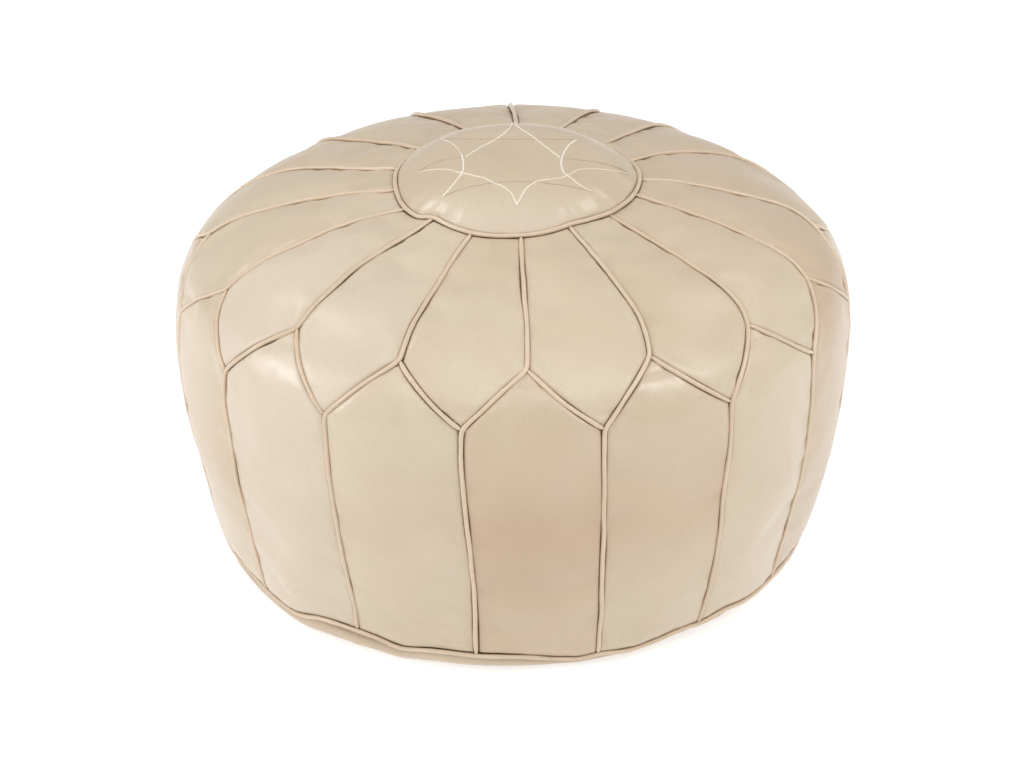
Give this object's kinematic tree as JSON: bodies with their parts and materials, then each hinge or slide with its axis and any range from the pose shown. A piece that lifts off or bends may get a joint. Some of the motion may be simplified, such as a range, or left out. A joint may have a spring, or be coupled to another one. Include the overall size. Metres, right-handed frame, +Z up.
{
  "type": "leather pouf",
  "caption": "Round stuffed leather pouf with pointed petal panels, piped seams, an embroidered star medallion on top and a zip in its base.",
  "frame": {"origin": "on the floor, under the middle of the pouf", "axes": "+Z up; -Y is the front, +X is to the right seen from the front; the base zip runs along X"},
  "size_m": [0.5495, 0.5499, 0.3339],
  "materials": {
    "leather": "semi-gloss smooth cream leather",
    "piping": "semi-gloss cream leather welt",
    "silk_thread": "shiny white embroidery thread",
    "lining_cloth": "matt plain-weave cotton",
    "stuffing": "matt loose fibre",
    "zip_tape": "matt woven tape",
    "zip_metal": "satin brass"
  },
  "bodies": {
    "pouf": {"medallion_panel": "leather", "petal_panel_01": "leather", "petal_panel_02": "leather", "petal_panel_03": "leather", "petal_panel_04": "leather", "petal_panel_05": "leather", "petal_panel_06": "leather", "petal_panel_07": "leather", "petal_panel_08": "leather", "petal_panel_09": "leather", "petal_panel_10": "leather", "petal_panel_11": "leather", "petal_panel_12": "leather", "petal_panel_13": "leather", "petal_panel_14": "leather", "petal_panel_15": "leather", "petal_panel_16": "leather", "side_panel_01": "leather", "side_panel_02": "leather", "side_panel_03": "leather", "side_panel_04": "leather", "side_panel_05": "leather", "side_panel_06": "leather", "side_panel_07": "leather", "side_panel_08": "leather", "side_panel_09": "leather", "side_panel_10": "leather", "side_panel_11": "leather", "side_panel_12": "leather", "side_panel_13": "leather", "side_panel_14": "leather", "side_panel_15": "leather", "side_panel_16": "leather", "base_panel_left": "leather", "base_panel_right": "leather", "seam_piping_01": "piping", "seam_piping_02": "piping", "seam_piping_03": "piping", "seam_piping_04": "piping", "seam_piping_05": "piping", "seam_piping_06": "piping", "seam_piping_07": "piping", "seam_piping_08": "piping", "seam_piping_09": "piping", "seam_piping_10": "piping", "seam_piping_11": "piping", "seam_piping_12": "piping", "seam_piping_13": "piping", "seam_piping_14": "piping", "seam_piping_15": "piping", "seam_piping_16": "piping", "medallion_piping": "piping", "base_piping": "piping", "star_embroidery": "silk_thread", "lining_bag": "lining_cloth", "stuffing": "stuffing", "zip_tape_left": "zip_tape", "zip_tape_right": "zip_tape"},
    "zip_slider": {"zip_slider": "zip_metal"},
    "zip_pull_tab": {"zip_pull_tab": "zip_metal"}
  },
  "joints": [
    {"name": "zip_slide", "type": "slide", "parent": "pouf", "child": "zip_slider", "axis": [-1, 0, 0], "range_m": [0, 0.3]},
    {"name": "pull_tab_flip", "type": "hinge", "parent": "zip_slider", "child": "zip_pull_tab", "pos_m": [0.15, 0, 0.0025], "axis": [0, -1, 0], "range_deg": [0, 180]}
  ]
}
